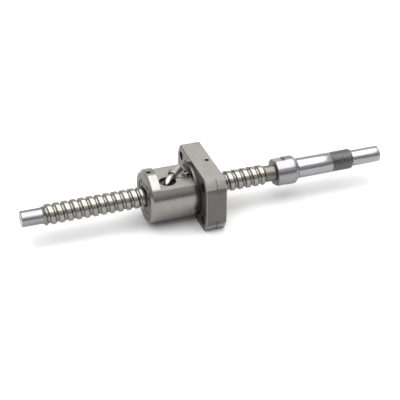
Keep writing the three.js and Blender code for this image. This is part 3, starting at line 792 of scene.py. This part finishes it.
def make_clamp():
    """A pressed strap: a saddle over the tube's second half, whose foot is screwed down beside it."""
    start, end = np.array(ENTRY), np.array(EXIT)
    run = (end - start) / np.linalg.norm(end - start)
    side = np.array([run[1], -run[0]])
    middle = (start + end) / 2 + CLAMP_ALONG * run
    radius = TUBE_OUTER + 0.15
    base = FLAT_HEIGHT + 0.06
    cross = [(-radius, base), (-radius, base + 0.35)]
    for step in range(21):
        angle = math.pi - math.pi * step / 20
        cross.append((radius * math.cos(angle), TUBE_HEIGHT + radius * math.sin(angle)))
    cross += [(radius + 0.05, base + 0.3), (radius + 0.2, base + 0.08), (radius + 0.5, base)]
    points, faces = [], []
    half = 0.5 * CLAMP_LENGTH - 0.05
    columns = 13
    for across, height in cross:
        for j in range(columns):
            t = -half + 2 * half * j / (columns - 1)
            spot = middle + side * across + run * t
            points.append((spot[0], spot[1], height))
    foot = len(cross)
    reach = [
        (radius + 1.0, 2.5), (radius + 2.4, 2.45), (radius + 3.6, 2.2), (radius + 4.6, 1.7),
        (radius + 5.3, 1.1), (radius + 5.6, 0.5)]
    toward = np.array(CLAMP_SCREW) - middle
    shift = toward.dot(run)
    for across, width in reach:
        lean = shift * (across - radius) / (toward.dot(side) - radius)
        for j in range(columns):
            t = -width + 2 * width * j / (columns - 1)
            spot = middle + side * across + run * (t + lean)
            points.append((min(spot[0], FLAT_END - 0.2), spot[1], base))
    faces = grid_faces(foot + len(reach), columns, closed=False)
    piece = build("tube_clamp_strap", points, faces, sharp=60)
    bm = bmesh.new()
    bm.from_mesh(piece.data)
    bmesh.ops.recalc_face_normals(bm, faces=bm.faces)
    top = max(bm.faces, key=lambda f: f.calc_center_median().z)
    if top.normal.z < 0:
        bmesh.ops.reverse_faces(bm, faces=bm.faces)
    bm.to_mesh(piece.data)
    bm.free()
    solidify(piece, 0.6, 0.12)
    piece.data.materials.append(steel("clamp_pressed_steel", (0.34, 0.335, 0.32), 0.42, grain="along_y",
                                      grain_pitch=0.1, grain_depth=0.3, mottle=0.06))
    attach(piece, "nut")
    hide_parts("tube_clamp")
    return piece


def hex_socket(radius, bottom, top, x, y):
    """The solid that is cut out for a hexagon key."""
    corners = [TURN * i / 6 for i in range(6)]
    outline = [(x + radius * math.cos(corner), y + radius * math.sin(corner)) for corner in corners]
    return prism("hex_tool", outline, 2, bottom, top)


def make_clamp_screw():
    x, y = CLAMP_SCREW
    seat = FLAT_HEIGHT + 0.68
    top = seat + 1.95
    piece = upright("clamp_cap_screw", [
        (6.6, 0), (6.6, 0.7), (6.8, 0.92), (seat, 0.92), (seat, 1.72), (seat + 0.12, 1.86),
        (top - 0.3, 1.86), (top - 0.08, 1.72), (top, 1.5), (top, 0)], x, y, steps=60)
    combine(piece, hex_socket(0.87, top - 1.0, top + 1, x, y), "DIFFERENCE")
    tidy(piece, 30)
    piece.data.materials.clear()
    piece.data.materials.append(steel("fastener_black_oxide", (0.20, 0.20, 0.205), 0.22, grain="blast",
                                      grain_pitch=0.2, grain_depth=0.2, mottle=0.1))
    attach(piece, "nut")
    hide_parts("clamp_screw")
    return piece


def make_seal_screws():
    for node, x in SEAL_SCREWS.items():
        top = 11.9
        piece = upright(node + "_socket_set", [
            (8.95, 0), (8.95, 0.7), (9.2, 0.95), (top - 0.2, 0.95), (top, 0.8), (top, 0)], x, 0.0, steps=48)
        combine(piece, hex_socket(0.52, top - 0.9, top + 1, x, 0.0), "DIFFERENCE")
        tidy(piece, 30)
        piece.data.materials.clear()
        piece.data.materials.append(bpy.data.materials["fastener_black_oxide"])
        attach(piece, "nut")
        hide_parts(node)


def seal_finish():
    made, tree, shader = material("seal_polymer")
    n = Nodes(tree)
    here = n.vector(*n.place())
    cloud = n.noise(here, 0.8, detail=4.0)
    tint = n.ramp(cloud, [(0.35, (0.07, 0.067, 0.063)), (0.65, (0.19, 0.18, 0.168))])
    n.link(tint, shader.inputs["Base Color"])
    n.link(n.span(cloud, 0.5, 0.7), shader.inputs["Roughness"])
    n.link(n.bump(n.noise(here, 9.0, detail=3.0), 0.25, 0.02 * MM), shader.inputs["Normal"])
    return made


def make_seals():
    """A ring with two lips at each end of the nut, its outer face set in from the nut's."""
    made = seal_finish()
    for node, outer, inner in (("wiper_seal_left", 59.5, 62.1), ("wiper_seal_right", 92.9, 90.3)):
        into = 1 if inner > outer else -1
        section = [
            (0.0, 5.55), (0.0, 8.1), (0.08, 8.2), (0.2, 8.25), (2.4, 8.25), (2.55, 8.1), (2.55, 6.4),
            (1.6, 5.9), (1.5, 5.6), (1.35, 5.27), (1.22, 5.2), (1.1, 5.25), (0.9, 5.6), (0.75, 5.62),
            (0.6, 5.3), (0.48, 5.22), (0.3, 5.25), (0.08, 5.4), (0.0, 5.55)]
        profile = [(outer + into * x, r) for x, r in section]
        piece = revolve(node + "_moulding", profile, steps=128, sharp=50)
        tidy(piece, 40)
        low_x, high_x = sorted([outer - into * 0.5, outer + into * SEAL_DIMPLE_DEPTH])
        dimple = [(low_x, 0), (low_x, SEAL_DIMPLE_RADIUS), (high_x, SEAL_DIMPLE_RADIUS), (high_x, 0)]
        for i in range(SEAL_DIMPLES):
            angle = TURN * (i + 0.5) / SEAL_DIMPLES
            centre = (SEAL_DIMPLE_CIRCLE * math.cos(angle), SEAL_DIMPLE_CIRCLE * math.sin(angle))
            combine(piece, revolve("dimple", dimple, steps=20, centre=centre), "DIFFERENCE")
        tidy(piece, 25)
        piece.data.materials.clear()
        piece.data.materials.append(made)
        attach(piece, "wiper_seals")
        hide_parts(node)


def make_balls():
    """Every ball of the circuit, each where its own CAD node is."""
    nodes = sorted(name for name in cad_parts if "_ball_" in name)
    bm = bmesh.new()
    for node in nodes:
        low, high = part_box(node)
        place = Matrix.Translation((low + high) / 2)
        bmesh.ops.create_uvsphere(
            bm, u_segments=28, v_segments=18, radius=BALL_RADIUS * MM * 0.995, matrix=place)
    mesh = bpy.data.meshes.new("bearing_balls")
    bm.to_mesh(mesh)
    bm.free()
    mesh.shade_smooth()
    piece = bpy.data.objects.new("bearing_balls", mesh)
    bpy.context.scene.collection.objects.link(piece)
    mesh.materials.append(steel(
        "ball_lapped_steel", (0.78, 0.78, 0.79), 0.08, grain="blast", grain_pitch=0.5, grain_depth=0.05,
        mottle=0.02, spread=0.02))
    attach(piece, "nut")
    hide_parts(*nodes)


# ---------------------------------------------------------------- stage
AZIMUTH, ELEVATION = math.radians(-19.45), math.radians(32.35)
CAMERA_PLACE = Vector((-0.1711, -0.4754, 0.3255))
LENS = 111.6


def make_stage():
    bpy.ops.mesh.primitive_plane_add(size=12, location=(0, 0, 0))
    floor = bpy.context.object
    floor.name = "floor"
    made, tree, shader = material("floor_white")
    shader.inputs["Base Color"].default_value = (0.65, 0.65, 0.65, 1)
    shader.inputs["Roughness"].default_value = 0.75
    floor.data.materials.append(made)

    world = bpy.data.worlds.new("studio")
    bpy.context.scene.world = world
    world.use_nodes = True
    n = Nodes(world.node_tree)
    direction = n.add("ShaderNodeTexCoord")
    split = n.add("ShaderNodeSeparateXYZ")
    n.link(direction.outputs["Generated"], split.inputs[0])
    front = n.ramp(split.outputs[2], [(0.0, 0.16), (0.2, 0.19), (0.42, 0.4), (0.9, 0.45)])
    behind = n.add("ShaderNodeMapRange", interpolation_type="SMOOTHSTEP")
    n.link(split.outputs[1], behind.inputs["Value"])
    behind.inputs["From Min"].default_value = -0.2
    behind.inputs["From Max"].default_value = 0.3
    glow = n.add("ShaderNodeMix", data_type="RGBA")
    n.link(behind.outputs["Result"], glow.inputs["Factor"])
    n.link(front, glow.inputs["A"])
    glow.inputs["B"].default_value = (0.5, 0.5, 0.5, 1.0)
    background = world.node_tree.nodes["Background"]
    n.link(glow.outputs["Result"], background.inputs["Color"])
    background.inputs["Strength"].default_value = 2.0

    def light(name, place, size, radiance, aim):
        lamp = bpy.data.lights.new(name, "AREA")
        lamp.shape = "RECTANGLE"
        lamp.size, lamp.size_y = size
        lamp.energy = radiance * math.pi * size[0] * size[1]
        holder = bpy.data.objects.new(name, lamp)
        holder.location = place
        holder.rotation_euler = (Vector(aim) - Vector(place)).to_track_quat("-Z", "Y").to_euler()
        bpy.context.scene.collection.objects.link(holder)

    light("overhead_softbox", (0, -0.1, 0.8), (1.3, 1.2), 3.0, aim=(0, -0.1, 0))

    camera = bpy.data.objects.new("camera", bpy.data.cameras.new("camera"))
    camera.data.lens = LENS
    camera.data.sensor_width = 36
    camera.data.clip_start = 0.01
    camera.location = CAMERA_PLACE
    level = math.cos(ELEVATION)
    forward = Vector((-math.sin(AZIMUTH) * level, math.cos(AZIMUTH) * level, -math.sin(ELEVATION)))
    camera.rotation_euler = forward.to_track_quat("-Z", "Y").to_euler()
    bpy.context.scene.collection.objects.link(camera)
    bpy.context.scene.camera = camera
    bpy.context.scene.view_settings.view_transform = "Standard"


make_screw()
make_nut()
make_tube()
make_clamp()
make_clamp_screw()
make_seal_screws()
make_seals()
make_balls()
make_stage()

bpy.context.view_layer.update()
